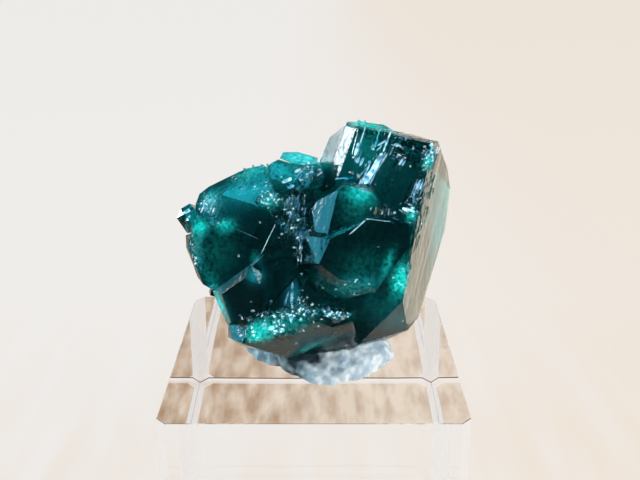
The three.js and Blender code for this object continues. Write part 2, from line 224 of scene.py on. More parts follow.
fine = add(tree, "Mapping", {"Vector": place, "Scale": (1, FLECK_STRETCH, 1)})
mottle = add(tree, "TexNoise", {"Vector": fine, "Scale": scale_of(FLECK_MM), "Detail": 3})
mottled = add(tree, "MapRange", {"Value": mottle.outputs["Fac"], "From Min": 0.35, "From Max": 0.75})
away_from_left = add(tree, "MapRange", {
    "Value": apart.outputs["X"], "From Min": -7 * MM, "From Max": 2 * MM, "To Max": 0.5},
    interpolation_type="SMOOTHSTEP")
paler = add(tree, "Math", {0: mottled, 1: away_from_left}, operation="ADD", use_clamp=True)
tan = add(tree, "Mix", {
    "Factor": paler, 6: linear(FLOOR_SHADED_UNDER), 7: linear(FLOOR_SHADED_UNDER_PALE)}, data_type="RGBA")

off_x = add(tree, "Math", {0: apart.outputs["X"]}, operation="ABSOLUTE")
off_y = add(tree, "Math", {0: apart.outputs["Y"]}, operation="ABSOLUTE")
off_middle = add(tree, "Math", {0: off_x, 1: off_y}, operation="MAXIMUM")
# painted shade: inside the cube's outline the table is drawn darker, as less light gets in under the cube
shaded_under_cube = add(tree, "MapRange", {
    "Value": off_middle,
    "From Min": (CUBE_MM / 2 + 0.2) * MM, "From Max": (CUBE_MM / 2 - 0.3) * MM})
looked_at = add(tree, "Mix", {
    "Factor": shaded_under_cube, 6: cream.outputs[2], 7: tan.outputs[2]}, data_type="RGBA")

# %% [markdown]
# What the table lights, and shows in the crystals' mirrors, is beige: weak at the front and left, strong
# behind and at the right, where most light falls. Light Path tells the two kinds of rays apart.

# %% The table as a light
FLOOR_BEIGE = "#efe2cc"
SEEN_STRENGTH = 0.97
SEEN_MATTE = 0.03

near_to_far = add(tree, "MapRange", {
    "Value": apart.outputs["Y"], "From Min": -30 * MM, "From Max": 25 * MM, "To Min": 0.08, "To Max": 1.0},
    interpolation_type="SMOOTHSTEP")
left_to_right = add(tree, "MapRange", {
    "Value": apart.outputs["X"], "From Min": -15 * MM, "From Max": 28 * MM, "To Min": 0.45, "To Max": 2.1},
    interpolation_type="SMOOTHSTEP")
gathered = add(tree, "Math", {0: near_to_far, 1: left_to_right}, operation="MULTIPLY")
path = add(tree, "LightPath")
straight = add(tree, "Math", {
    0: path.outputs["Is Camera Ray"], 1: path.outputs["Is Transmission Ray"]}, operation="MAXIMUM")
seen_light = add(tree, "Emission", {"Color": looked_at.outputs[2], "Strength": SEEN_STRENGTH})
seen_matte = add(tree, "BsdfDiffuse", {"Color": (SEEN_MATTE, SEEN_MATTE, SEEN_MATTE, 1)})
seen_floor = add(tree, "AddShader", {0: seen_light, 1: seen_matte})
lighting = add(tree, "Emission", {"Color": linear(FLOOR_BEIGE), "Strength": gathered})
both = add(tree, "MixShader", {0: straight, 1: lighting, 2: seen_floor})
add(tree, "OutputMaterial", {"Surface": both})
floor_mesh.materials.append(floor_material)
print("table material with", len(tree.nodes), "nodes")

# %% [markdown]
# One soft lamp, above and behind, models the crystals. A weak one at the front lights the putty. It is
# kept out of reflections, so that the front faces stay dark.

# %% The lamps
LAMP = {"azimuth": 36, "elevation": 54, "distance_mm": 260, "size_mm": 130, "watts": 0.26}
FILL = {"azimuth": 135, "elevation": 30, "distance_mm": 220, "size_mm": 90, "watts": 0.5}
LAMP_COOL = (0.86, 0.95, 1.0)
AIM_UP_MM = 27


def soft_lamp(name, azimuth, elevation, distance_mm, size_mm, watts):
    """A round lamp on a sphere round the specimen, turned to its middle."""
    data = bpy.data.lights.new(name, "AREA")
    data.shape = "DISK"
    data.size = size_mm * MM
    data.energy = watts
    data.color = LAMP_COOL
    lamp = bpy.data.objects.new(name, data)
    lamp.location = (np.array(toward(azimuth, elevation)) * distance_mm + (0, 0, AIM_UP_MM)) * MM
    lamp.rotation_euler = (math.radians(90 - elevation), 0, math.radians(180 - azimuth))
    bpy.context.scene.collection.objects.link(lamp)
    return lamp


soft_lamp("lamp", **LAMP)
fill = soft_lamp("fill_lamp", **FILL)
fill.visible_glossy = False
fill.visible_transmission = False
print("two soft lamps, aimed", AIM_UP_MM, "mm up")

# %% [markdown]
# The cluster leans back in its putty. Its crystals are easiest to describe in its own frame: x to the
# right, y up along the lean and z out of the front, in millimetres from its heart. Two functions go to
# that frame and back.

# %% The cluster's own frame
HEART_MM = np.array((0.4, -1.7, 29.25))
lean = math.radians(90 - LOOK_DOWN)
AXES = np.array((
    (1, 0, 0),
    (0, math.cos(lean), math.sin(lean)),
    (0, -math.sin(lean), math.cos(lean)),
))


def to_cluster(points_m):
    """World metres to the cluster's frame: the dot products of (point − heart) with the three axes."""
    return (np.asarray(points_m) / MM - HEART_MM) @ AXES.T


def to_world(points_mm):
    """The cluster's frame to world metres: heart + x·right + y·up + z·out."""
    return (np.asarray(points_mm) @ AXES + HEART_MM) * MM


# %% [markdown]
# Natural faces are not quite flat: they swell, step and are pitted. That relief needs a finer mesh than
# the solid has. A voxel remesh would round the sharp edges off, so every long edge is split at its middle
# instead, until all are short. Flat faces stay flat and sharp edges stay sharp, and then noise moves the
# new vertices a few hundredths of a millimetre.

# %% Refine a closed mesh
MERGE_M = 2e-7


def merged_copy(node):
    """Vertices (metres) and triangles of a copy of a CAD node whose loose triangles are merged."""
    work = bmesh.new()
    work.from_mesh(node.data)
    bmesh.ops.remove_doubles(work, verts=work.verts, dist=MERGE_M)
    mesh = bpy.data.meshes.new("merged")
    work.to_mesh(mesh)
    work.free()
    points = np.zeros(3 * len(mesh.vertices))
    mesh.vertices.foreach_get("co", points)
    triangles = np.zeros(3 * len(mesh.polygons), int)
    mesh.polygons.foreach_get("vertices", triangles)
    bpy.data.meshes.remove(mesh)
    return points.reshape(-1, 3), triangles.reshape(-1, 3)


def turned_to(triangles, middles, chosen, first):
    """The chosen triangles and their edges' middles, turned so that edge number first comes first."""
    order = (np.arange(3) + first[chosen, None]) % 3
    return np.take_along_axis(triangles[chosen], order, 1), np.take_along_axis(middles[chosen], order, 1)


def split_long_edges(points, triangles, longest):
    """Splits each edge longer than longest(its middle) in half, until none is left. A triangle with one,
    two or three split edges becomes two, three or four triangles."""
    while True:
        sides = np.sort(triangles[:, [[0, 1], [1, 2], [2, 0]]], axis=2).reshape(-1, 2)
        edges, which = np.unique(sides, axis=0, return_inverse=True)
        ends = points[edges]
        middle = ends.mean(axis=1)
        is_long = np.linalg.norm(ends[:, 0] - ends[:, 1], axis=1) > longest(middle)
        if not is_long.any():
            return points, triangles
        number = np.full(len(edges), -1)
        number[is_long] = len(points) + np.arange(is_long.sum())
        points = np.vstack([points, middle[is_long]])
        middles = number[which.reshape(-1)].reshape(-1, 3)
        count = (middles >= 0).sum(axis=1)
        t1, m1 = turned_to(triangles, middles, count == 1, (middles >= 0).argmax(axis=1))
        t2, m2 = turned_to(triangles, middles, count == 2, (middles < 0).argmax(axis=1) + 1)
        t3, m3 = triangles[count == 3], middles[count == 3]
        triangles = np.vstack([
            triangles[count == 0],
            np.c_[t1[:, 0], m1[:, 0], t1[:, 2]], np.c_[m1[:, 0], t1[:, 1], t1[:, 2]],
            np.c_[m2[:, 0], t2[:, 1], m2[:, 1]], np.c_[t2[:, 0], m2[:, 0], m2[:, 1]],
            np.c_[t2[:, 0], m2[:, 1], t2[:, 2]],
            np.c_[t3[:, 0], m3[:, 0], m3[:, 2]], np.c_[m3[:, 0], t3[:, 1], m3[:, 1]],
            np.c_[m3[:, 2], m3[:, 1], t3[:, 2]], m3,
        ])

# %% [markdown]
# Noise in space moves the vertices: an even random number at each point of a lattice, blended in between.
# It is worked out here and not by a texture, so that the shape is in the mesh itself.

# %% Smooth noise, and normals
LATTICE = 32


def noise(points, size, seed):
    """Noise from −1 to 1: random numbers on a cubic lattice with cells of that size, and between the eight
    corners of a cell a blend by the curve 3t² − 2t³ along each axis."""
    table = np.random.default_rng(seed).uniform(-1, 1, (LATTICE,) * 3)
    scaled = points / size
    cell = np.floor(scaled).astype(int)
    t = scaled - cell
    t = t * t * (3 - 2 * t)
    total = np.zeros(len(points))
    for corner in itertools.product((0, 1), repeat=3):
        weight = np.prod(np.where(corner, t, 1 - t), axis=1)
        i, j, k = ((cell + corner) % LATTICE).T
        total += weight * table[i, j, k]
    return total


def vertex_normals(points, triangles):
    """At each vertex the sum of its triangles' cross products, so weighed by area, at unit length."""
    a, b, c = (points[triangles[:, i]] for i in range(3))
    cross = np.cross(b - a, c - a)
    normals = np.zeros_like(points)
    for i in range(3):
        np.add.at(normals, triangles[:, i], cross)
    return normals / np.maximum(np.linalg.norm(normals, axis=1, keepdims=True), 1e-12)

# %% [markdown]
# The front, which is seen closest, gets the finest mesh, and the back a coarser one, so that the piece
# stays under 200,000 triangles.

# %% Refine the cluster
FINE_EDGE_MM = 0.2
COARSE_EDGE_MM = 0.38
FRONT_OVER_Z_MM = -2.6


def edge_limit(middle):
    """The longest edge allowed at each place: short on the front and longer on the back."""
    return np.where(middle[:, 2] > FRONT_OVER_Z_MM, FINE_EDGE_MM, COARSE_EDGE_MM)


corners_m, triangles = merged_copy(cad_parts["dioptase_cluster"])
points, triangles = split_long_edges(to_cluster(corners_m), triangles, edge_limit)
print("cluster refined to", len(triangles), "triangles")

# %% [markdown]
# The crystals are not the same all over. Where a face is frosted or a crust of tiny crystals sits, light
# that was gathered inside comes out as a turquoise glow. Each such spot is given as an ellipsoid in the
# cluster's frame. The fields are kept on the mesh as attributes, and the finish reads them.

# %% Where the crystals glow, are frosted, or are veiled
GLOW_SPOTS = [
    # middle, half sizes, turn about z in degrees, strength
    ((2.6, 3.0, 2.0), (1.1, 0.6, 1.2), -10, 1.0),  # top of the upper front crystal
    ((2.4, 2.0, 2.2), (1.1, 1.0, 1.0), -10, 0.16),
    ((2.3, -3.0, 2.2), (1.7, 0.75, 1.6), 8, 0.22),  # frosted lower rim of the big front crystal
    ((2.8, -1.6, 2.8), (1.6, 1.2, 1.2), 20, 0.08),
    ((4.4, -1.5, 2.0), (0.3, 0.95, 1.4), -22, 0.8),  # streak on its right
    ((5.5, -2.8, 0.0), (0.6, 1.2, 1.6), -10, 1.5),  # crust beside the long prism
    ((3.4, -4.2, 1.0), (0.3, 0.9, 1.4), -25, 0.6),  # crust below the big front crystal
    ((4.3, -4.6, 0.0), (1.2, 0.9, 1.6), 0, 0.12),
    ((-6.45, 1.0, 0.0), (0.7, 0.5, 1.4), 10, 0.75),  # top of the broad left crystal
    ((-8.3, 0.95, -1.0), (0.55, 0.6, 1.6), 0, 0.95),
    ((-8.6, -0.6, -1.2), (0.6, 1.7, 1.8), 0, 0.16),  # its left edge
    ((-7.0, -0.6, -0.6), (1.6, 1.8, 1.6), 0, 0.1),
    ((-7.6, -2.6, -0.6), (0.6, 1.2, 1.6), 25, 0.16),
    ((-4.3, -1.2, 0.6), (0.35, 0.45, 1.0), 0, 0.25),  # where it meets the hollow
    ((-6.75, -4.4, 0.2), (0.35, 1.0, 1.8), 25, 1.2),  # left edge of the lower left crystal
    ((-3.95, -6.1, 1.0), (0.85, 0.65, 1.6), 20, 1.15),  # crust at the bottom left
    ((-1.9, -5.5, 1.2), (1.6, 0.7, 1.4), 0, 0.22),
    ((-1.2, 5.75, -1.6), (1.5, 0.5, 1.8), -8, 1.1),  # broken sliver on top
    ((-4.6, 4.9, -2.0), (1.5, 0.5, 1.8), 18, 0.5),  # upper edge of the sloping top
    ((-5.4, 3.6, -1.6), (2.2, 1.2, 1.8), 12, 0.16),
    ((-7.7, 2.9, -1.8), (0.7, 0.9, 1.6), 30, 0.5),  # near the far left tip
    ((-2.5, 4.8, -1.2), (0.9, 0.9, 1.4), 0, 0.3),  # upper left knob
    ((2.9, 7.95, 0.0), (1.2, 0.35, 1.8), -10, 1.2),  # broken rim of the long prism
    ((4.6, 7.55, 0.0), (1.2, 0.25, 1.8), -12, 0.5),
    ((7.2, 5.2, 0.8), (0.3, 0.5, 1.2), -10, 0.6),  # its right edge
    ((6.2, 1.6, 0.3), (0.35, 0.4, 1.2), -12, 0.9),
    ((3.2, 6.0, 0.6), (1.1, 1.7, 1.2), -14, 0.16),
    ((-3.3, 2.7, 0.0), (0.7, 0.5, 1.4), 0, 0.5),  # above the hollow
    ((0.3, -2.4, 1.0), (0.9, 0.45, 1.4), 0, 0.12),
    ((-0.6, -7.3, 0.0), (1.6, 0.25, 1.6), 25, 0.3),  # lower rim at the bottom
    ((7.9, 1.6, -2.0), (0.5, 0.5, 1.8), 0, 0.1),  # faint spot on the right side
]
GLINT_SPOTS = [
    ((-3.0, -5.6, 1.2), (2.2, 1.1, 1.6), 12, 0.45),  # crust at the bottom left
    ((-1.2, -4.6, 1.4), (1.2, 0.7, 1.4), 0, 0.4),
    ((1.1, -4.9, 1.6), (1.1, 0.35, 1.4), -8, 1.0),  # bright chip
    ((5.5, -2.9, 0.0), (0.5, 1.2, 1.6), -10, 0.35),
    ((2.3, -3.1, 2.4), (1.8, 0.7, 1.6), 8, 0.1),
    ((-1.8, 2.3, 0.0), (1.2, 2.0, 1.8), -8, 0.12),  # the hollow with its thin columns
    ((-1.2, -0.4, 0.4), (0.7, 1.6, 1.6), -8, 0.3),
    ((-3.3, 2.7, 0.0), (0.9, 0.5, 1.4), 0, 0.8),
    ((-4.4, 3.6, -1.0), (1.6, 0.5, 1.6), -20, 0.3),
    ((-7.9, 2.6, -1.6), (0.6, 0.9, 1.6), 30, 0.5),
    ((7.3, 5.6, 0.8), (0.4, 1.2, 1.0), -10, 0.9),  # right edge of the long prism
    ((5.3, 6.0, 0.8), (0.9, 1.0, 1.0), -14, 0.35),
    ((6.3, 2.4, 0.3), (0.45, 1.3, 1.0), -12, 0.6),
    ((4.8, 1.9, 0.6), (1.4, 0.5, 1.2), -10, 0.35),
    ((3.0, 4.2, 0.6), (1.0, 0.8, 1.2), -14, 0.35),
    ((5.2, 7.6, 0.6), (0.7, 0.25, 1.2), -12, 0.8),
    ((-0.8, 4.7, -1.0), (0.9, 0.9, 1.6), 0, 0.35),
]
FROST_SPOTS = [
    ((-3.0, -5.6, 1.2), (2.3, 1.2, 1.6), 12, 1.0),  # crust at the bottom left
    ((-0.8, -5.0, 1.6), (1.3, 0.6, 1.2), 0, 0.9),
    ((1.0, -4.8, 1.8), (1.1, 0.45, 1.2), 0, 1.0),  # bright chip
    ((5.5, -2.7, -0.2), (0.7, 1.4, 1.6), -10, 0.9),
    ((2.3, -3.1, 2.4), (1.8, 0.7, 1.6), 8, 0.7),
    ((4.45, -1.5, 2.2), (0.35, 1.0, 1.4), -22, 0.7),
    ((2.6, 3.0, 2.0), (1.1, 0.6, 1.2), -10, 0.6),
    ((-1.8, 1.8, 0.0), (1.3, 2.6, 1.8), -8, 0.9),  # the hollow with its thin columns
    ((-3.4, 2.8, 0.0), (1.1, 0.6, 1.4), 0, 0.8),
    ((-8.0, 1.8, -1.6), (0.9, 1.2, 1.6), 0, 0.6),
    ((-4.9, 4.2, -2.0), (2.4, 0.9, 1.8), 15, 0.5),  # sloping top
    ((-6.9, -4.3, -0.6), (0.5, 1.2, 1.8), 25, 0.9),
    ((7.3, 5.6, 0.8), (0.4, 1.2, 1.0), -10, 0.8),
    ((6.25, 2.2, 0.3), (0.4, 1.3, 1.0), -12, 0.8),
    ((-8.8, -0.8, -1.0), (0.6, 1.9, 2.2), 0, 0.7),  # ragged left edge of the broad left crystal
    ((5.6, 7.5, -1.0), (1.8, 0.35, 2.0), -14, 0.8),
    ((4.3, 4.9, 0.6), (3.0, 4.2, 1.4), -14, 0.55),  # front of the long prism
    ((3.4, 7.85, 0.0), (1.9, 0.35, 1.6), -10, 0.8),
]
VEIL_SPOTS = [
    ((-5.4, 3.4, -1.6), (2.6, 1.5, 2.0), 12, 0.55),  # sloping top, milky teal
    ((-7.9, 2.4, -1.7), (0.9, 1.1, 1.4), 0, 0.7),
    ((-2.2, 4.8, -1.2), (2.0, 1.0, 1.6), 0, 0.35),
    ((-1.2, 6.0, -1.6), (1.6, 0.6, 2.2), -8, 1.2),  # broken sliver on top
    ((-4.35, -2.4, 0.8), (0.55, 0.6, 1.6), 0, 1.2),  # small facet below the broad left crystal
    ((8.6, 1.0, -4.6), (0.9, 3.2, 2.4), -6, 0.8),  # back edge of the long prism's right side
    ((-1.8, -3.6, 2.0), (0.6, 1.1, 1.0), 0, 0.7),  # pale splinter
    ((2.3, -3.0, 2.2), (1.9, 0.6, 1.4), 8, 0.8),  # frosted rim of the big front crystal
    ((-6.8, -4.4, 0.2), (0.6, 1.3, 1.8), 25, 1.2),  # left edge of the lower left crystal
    ((5.6, -5.6, -1.6), (1.6, 1.2, 1.4), 0, 0.4),  # low faces of the long prism
    ((-1.3, -6.7, 0.4), (1.6, 0.8, 1.2), 10, 0.25),
    ((0.3, 5.6, -2.4), (0.9, 2.6, 1.6), 0, 0.5),  # thin left side of the long prism
]
FIELDS = {"glow": GLOW_SPOTS, "glint": GLINT_SPOTS, "frost": FROST_SPOTS, "veil": VEIL_SPOTS}
SPOT_FALL = 1.4


def field(points, spots):
    """The sum over the spots of strength·exp(−SPOT_FALL·d²), d being the distance in half sizes."""
    total = np.zeros(len(points))
    for middle, half, turn, strength in spots:
        away = points - middle
        c, s = math.cos(math.radians(turn)), math.sin(math.radians(turn))
        along = np.c_[c * away[:, 0] + s * away[:, 1], c * away[:, 1] - s * away[:, 0], away[:, 2]]
        total += strength * np.exp(-SPOT_FALL * ((along / half) ** 2).sum(axis=1))
    return total


def all_fields(points):
    """Every field at the points, kept between 0 and 1."""
    return {name: np.clip(field(points, spots), 0, 1) for name, spots in FIELDS.items()}


fields = all_fields(points)
for name, values in fields.items():
    print(name, "over 0.3 on", round(100 * float((values > 0.3).mean())), "% of the vertices")

# %% [markdown]
# The relief itself: a slow swell over all faces, fine upright grooves on the long prism, whose sides grow
# as stacks of thin ledges, and roughness where the mesh is frosted. What stands out is lowered, because a
# face has more pits than bumps.

# %% The relief of the faces
SWELL = {"size": 1.7, "height": 0.035}
ROUGH = {"size": 0.36, "height": 0.1}
GROOVES = {"width": 0.42, "height": 0.03}
PRISM_AXIS = np.array((0.235, 0.97, 0.0))
PRISM_ACROSS = np.array((0.97, -0.235, 0.0))
OUTWARD_LOST = 0.6

normals = vertex_normals(points, triangles)
# squeezing the place along the axis stretches the noise into grooves
groove_place = np.c_[points @ PRISM_ACROSS, 0.06 * (points @ PRISM_AXIS), 0.8 * points[:, 2]]
# 0 left of the prism's slanting left edge and 1 from 0.8 mm right of it, down to its foot
on_prism = np.clip((points[:, 0] + 0.26 * (4 - points[:, 1]) - 0.2) / 0.8, 0, 1) * (points[:, 1] > -6)
relief = SWELL["height"] * noise(points, SWELL["size"], 5)
relief += GROOVES["height"] * noise(groove_place, GROOVES["width"], 9) * on_prism
relief += ROUGH["height"] * noise(points, ROUGH["size"], 12) * fields["frost"]
relief -= OUTWARD_LOST * relief.clip(0)
shaped = points + normals * relief[:, None]
print("relief from", round(relief.min(), 3), "to", round(relief.max(), 3), "mm")

# %% [markdown]
# One function puts points and faces into a mesh. Edges between faces stay sharp, so that the crystals
# keep their hard arrises while the fine relief on a face is shaded smooth. A second one numbers the faces
# of every shape below that is made of rings of points.

# %% Put the crystals into a mesh
SHARP_OVER_DEGREES = 11


def mesh_object(name, points_m, faces, smooth_below=None, attributes=None):
    """A mesh object at the origin. Edges sharper than smooth_below degrees stay sharp."""
    mesh = bpy.data.meshes.new(name)
    mesh.from_pydata(np.asarray(points_m).tolist(), [], faces)
    for label, values in (attributes or {}).items():
        layer = mesh.attributes.new(label, "FLOAT", "POINT")
        layer.data.foreach_set("value", np.asarray(values, np.float32))
    if smooth_below is not None:
        mesh.shade_smooth()
        mesh.set_sharp_from_angle(angle=math.radians(smooth_below))
    mesh.validate()
    made = bpy.data.objects.new(name, mesh)
    bpy.context.scene.collection.objects.link(made)
    print(name, len(mesh.polygons), "faces")
    return made


def ring_quads(rings, around):
    """The quads between each ring of points and the next, the points being numbered ring by ring."""
    k, s = np.meshgrid(np.arange(rings - 1), np.arange(around), indexing="ij")
    start, after = k * around + s, k * around + (s + 1) % around
    return np.stack([start, after, after + around, start + around], axis=2).reshape(-1, 4)


crystals = mesh_object("crystals", to_world(shaped), triangles.tolist(), SHARP_OVER_DEGREES, fields)
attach(crystals, "root")
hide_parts("dioptase_cluster")

# %% [markdown]
# Dioptase is a copper silicate, glassy, with a refractive index of 1.65 to 1.71. White light loses its
# red within a fraction of a millimetre, so thick crystals look almost black and thin edges turquoise. The
# body is therefore a clear shader over an absorbing volume. Over it lies a thin milky veil for the flaws
# and crusts. First come the tiny facets of the frosted places, which sparkle: each cell of a pattern
# leans its own way.

# %% Dioptase: tiny facets
DIOPTASE_IOR = 1.66
FACET_MM = 0.13
RAGGED_MM = 0.1
RAGGED_SHIFT_MM = 0.32
FACET_LEAN = 1.6

dioptase, tree = new_material("dioptase")
place = add(tree, "TexCoord").outputs["Object"]
has = {label: add(tree, "Attribute", attribute_name=label).outputs["Fac"] for label in FIELDS}
ragged = add(tree, "TexNoise", {"Vector": place, "Scale": scale_of(RAGGED_MM), "Detail": 4})
shift = add(tree, "VectorMath", {
    0: ragged.outputs["Color"], 1: (RAGGED_SHIFT_MM * MM,) * 3, 2: place}, operation="MULTIPLY_ADD")
cells = add(tree, "TexVoronoi", {"Vector": shift, "Scale": scale_of(FACET_MM)})
# the random colour of a cell, less its middle, leans the facet up and to the left, towards the window
leaning = add(tree, "VectorMath", {0: cells.outputs["Color"], 1: (-0.85, -0.4, -0.4)}, operation="ADD")
amount = add(tree, "Math", {0: has["frost"], 1: FACET_LEAN}, operation="MULTIPLY")
tilt = add(tree, "VectorMath", {0: leaning, "Scale": amount}, operation="SCALE")

# %% [markdown]
# The faces are grooved along the prism. The pattern is turned to the cluster's frame and squeezed along
# the axis, so that it draws long lines. A finer unevenness lies over them, and the facets' lean is added
# last.

# %% Dioptase: growth grooves
PRISM_LEAN_DEGREES = 13.6
GROOVE_SQUEEZE = 0.05
GROOVE = {"wide_mm": 0.28, "deep_mm": 0.035}
UNEVEN = {"wide_mm": 0.5, "deep_mm": 0.02}

turned = add(tree, "Mapping", {
    "Vector": place, "Rotation": (-lean, 0, math.radians(PRISM_LEAN_DEGREES))}, vector_type="TEXTURE")
squeezed = add(tree, "Mapping", {"Vector": turned, "Scale": (1, GROOVE_SQUEEZE, 1)})
grooves = add(tree, "TexNoise", {
    "Vector": squeezed, "Scale": scale_of(GROOVE["wide_mm"]), "Detail": 3, "Roughness": 0.6})
groove_bump = add(tree, "Bump", {
    "Height": grooves.outputs["Fac"], "Strength": 1.0, "Distance": GROOVE["deep_mm"] * MM})
uneven = add(tree, "TexNoise", {"Vector": place, "Scale": scale_of(UNEVEN["wide_mm"]), "Detail": 4})
uneven_bump = add(tree, "Bump", {
    "Height": uneven.outputs["Fac"], "Strength": 1.0, "Distance": UNEVEN["deep_mm"] * MM,
    "Normal": groove_bump})
leaned = add(tree, "VectorMath", {0: uneven_bump, 1: tilt}, operation="ADD")
normal = add(tree, "VectorMath", {0: leaned}, operation="NORMALIZE")

# %% [markdown]
# Light leaves the crystals in two ways. Flaws glow turquoise with light gathered inside, broken up by
# flecks. Glints are the few facets and steps that face the window: pale where bright, blue where weak.
# Both are drawn as light of their own, because paths through so many tiny facets would need thousands of
# samples.

# %% Dioptase: glow and glints
GLOW_COLOUR = "#18f0e2"
GLINT_PALE = "#dcf8ff"
GLINT_BLUE = "#0f74bc"
FAINT_GLOW = 0.008
GLOW_FLECK_MM = 0.3
WAVE_MM = 0.5

flecks = add(tree, "TexNoise", {
    "Vector": place, "Scale": scale_of(GLOW_FLECK_MM), "Detail": 7, "Roughness": 0.75})
fleck = add(tree, "MapRange", {"Value": flecks.outputs["Fac"], "From Min": 0.34, "From Max": 0.68})
body_glow = add(tree, "Math", {0: has["glow"], 1: FAINT_GLOW}, operation="ADD")
glow_light = add(tree, "Math", {0: body_glow, 1: fleck}, operation="MULTIPLY")
glow_rgb = add(tree, "VectorMath", {0: linear(GLOW_COLOUR)[:3], "Scale": glow_light}, operation="SCALE")

# one facet in a thousand glints, and up to half of them where the glint field is full
chance = add(tree, "SeparateColor", {0: cells.outputs["Color"]})
rare = add(tree, "MapRange", {"Value": has["glint"], "To Min": 0.999, "To Max": 0.5})
lucky = add(tree, "Math", {0: chance.outputs[1], 1: rare}, operation="GREATER_THAN")
facet_light = add(tree, "Math", {0: lucky, 1: chance.outputs[2]}, operation="MULTIPLY")
# the growth steps carry their own painted glint, which waxes and wanes along them
waves = add(tree, "TexNoise", {"Vector": place, "Scale": scale_of(WAVE_MM), "Detail": 4})
wave = add(tree, "MapRange", {
    "Value": waves.outputs["Fac"], "From Min": 0.38, "From Max": 0.58, "To Min": 0.14, "To Max": 0.8})
painted_streak = add(tree, "Attribute", attribute_name="painted_streak").outputs["Fac"]
painted_line_light = add(tree, "Math", {0: painted_streak, 1: wave}, operation="MULTIPLY")
glint_light = add(tree, "Math", {0: facet_light, 1: painted_line_light}, operation="MAXIMUM")
glint_colour = add(tree, "Mix", {
    "Factor": glint_light, 6: linear(GLINT_BLUE), 7: linear(GLINT_PALE)}, data_type="RGBA")
glint_rgb = add(tree, "VectorMath", {
    0: glint_colour.outputs[2], "Scale": glint_light}, operation="SCALE")
shine = add(tree, "VectorMath", {0: glow_rgb, 1: glint_rgb}, operation="ADD")

# %% [markdown]
# Now the clear body and the milky veil are mixed. Light fades by (1 − colour) times the density for each
# metre, so a density in the thousands works within a millimetre, and red goes first.

# %% Dioptase: body and veil
ABSORB_COLOUR = (0.0, 0.872, 0.88, 1)
ABSORB_PER_M = 5400.0
VEIL_TEAL = "#17808a"
FAINT_VEIL = 0.04

veil_flecked = add(tree, "Math", {0: has["veil"], 1: glow_light}, operation="ADD")
veil_amount = add(tree, "Math", {0: veil_flecked, 1: FAINT_VEIL}, operation="ADD", use_clamp=True)
roughness = add(tree, "MapRange", {"Value": has["frost"], "To Min": 0.03, "To Max": 0.16})
clear = add(tree, "BsdfPrincipled", {
    "Base Color": (1, 1, 1, 1), "Transmission Weight": 1.0, "IOR": DIOPTASE_IOR,
    "Roughness": roughness, "Normal": normal,
    "Emission Color": shine, "Emission Strength": 1.0})
milky = add(tree, "BsdfPrincipled", {
    "Base Color": linear(VEIL_TEAL), "IOR": DIOPTASE_IOR, "Roughness": 0.25, "Normal": normal,
    "Emission Color": shine, "Emission Strength": 1.0})
surface = add(tree, "MixShader", {0: veil_amount, 1: clear, 2: milky})
body = add(tree, "VolumeAbsorption", {"Color": ABSORB_COLOUR, "Density": ABSORB_PER_M})
add(tree, "OutputMaterial", {"Surface": surface, "Volume": body})
crystals.data.materials.append(dioptase)
print("dioptase with", len(tree.nodes), "nodes")

# %% [markdown]
# Over the crusts and along the broken edges sit thousands of tiny crystals, short six-sided prisms with
# pointed ends. A particle system could strew them, but here they are placed by chance on the cluster's
# faces, more where a list of places says so, and become one mesh of plain faces.

# %% Where the tiny crystals sit
DRUSE_SPOTS = [
    # middle, half sizes, turn, share
    ((-3.0, -5.6, 1.2), (2.2, 1.0, 1.4), 12, 1.0),  # crust at the bottom left
    ((-1.2, -4.9, 1.4), (1.2, 0.6, 1.2), 0, 0.9),
    ((-4.3, -6.4, 0.8), (1.0, 0.5, 1.4), 10, 0.8),
    ((-1.9, -4.3, 1.8), (0.8, 0.7, 1.2), 0, 0.7),
    ((1.1, -4.9, 1.6), (1.0, 0.35, 1.2), -8, 0.9),
    ((5.5, -2.9, 0.0), (0.5, 1.1, 1.4), -10, 0.9),  # crust beside the long prism
    ((3.4, -4.2, 1.0), (0.35, 0.9, 1.2), -25, 0.6),
    ((-3.4, 2.7, 0.0), (0.9, 0.4, 1.2), 0, 0.8),  # above the hollow
    ((3.4, 7.95, 0.0), (1.7, 0.25, 1.2), -10, 0.6),  # broken rim of the long prism
    ((7.4, 5.6, 0.8), (0.25, 1.2, 0.8), -10, 0.8),  # its right edge
    ((6.35, 2.2, 0.3), (0.25, 1.2, 0.8), -12, 0.7),
    ((-8.5, 0.2, -1.4), (0.5, 1.6, 1.4), 0, 0.7),  # left edge of the broad left crystal
    ((-5.0, 4.8, -2.4), (2.0, 0.5, 1.4), 22, 0.7),  # upper edge of the sloping top
    ((-6.9, 1.2, -0.4), (1.2, 0.35, 1.2), 5, 0.6),
]
DRUSE_COUNT = 2800
DRUSE_RADIUS_MM = (0.02, 0.11)
DRUSE_FROM = 0.25
TIP_HEIGHT = 1.7


def small_crystal():
    """Corners and faces of a six-sided prism of radius 1: side walls up to height 1, then a tip."""
    angle = np.arange(6) * math.pi / 3
    ring = np.c_[np.cos(angle), np.sin(angle)]
    corners = np.vstack([np.c_[ring, np.zeros(6)], np.c_[ring, np.ones(6)], [[0, 0, TIP_HEIGHT]]])
    i = np.arange(6)
    after = (i + 1) % 6
    walls = np.stack([i, after, after + 6, i + 6], axis=1)
    tips = np.stack([i + 6, after + 6, np.full(6, 12)], axis=1)
    return corners, walls, tips, i[::-1]


def scattered(points, triangles, share, count, rng):
    """Random places on a mesh, by area times share, and the unit normals there. A place is
    a + √r·(1 − s)·(b − a) + √r·s·(c − a), r and s even from 0 to 1."""
    a, b, c = (points[triangles[:, i]] for i in range(3))
    cross = np.cross(b - a, c - a)
    area = np.linalg.norm(cross, axis=1)
    chance = area * share[triangles].mean(axis=1)
    chosen = rng.choice(len(triangles), count, p=chance / chance.sum())
    root, s = np.sqrt(rng.random((count, 1))), rng.random((count, 1))
    places = a[chosen] * (1 - root) + b[chosen] * root * (1 - s) + c[chosen] * root * s
    return places, cross[chosen] / area[chosen, None]


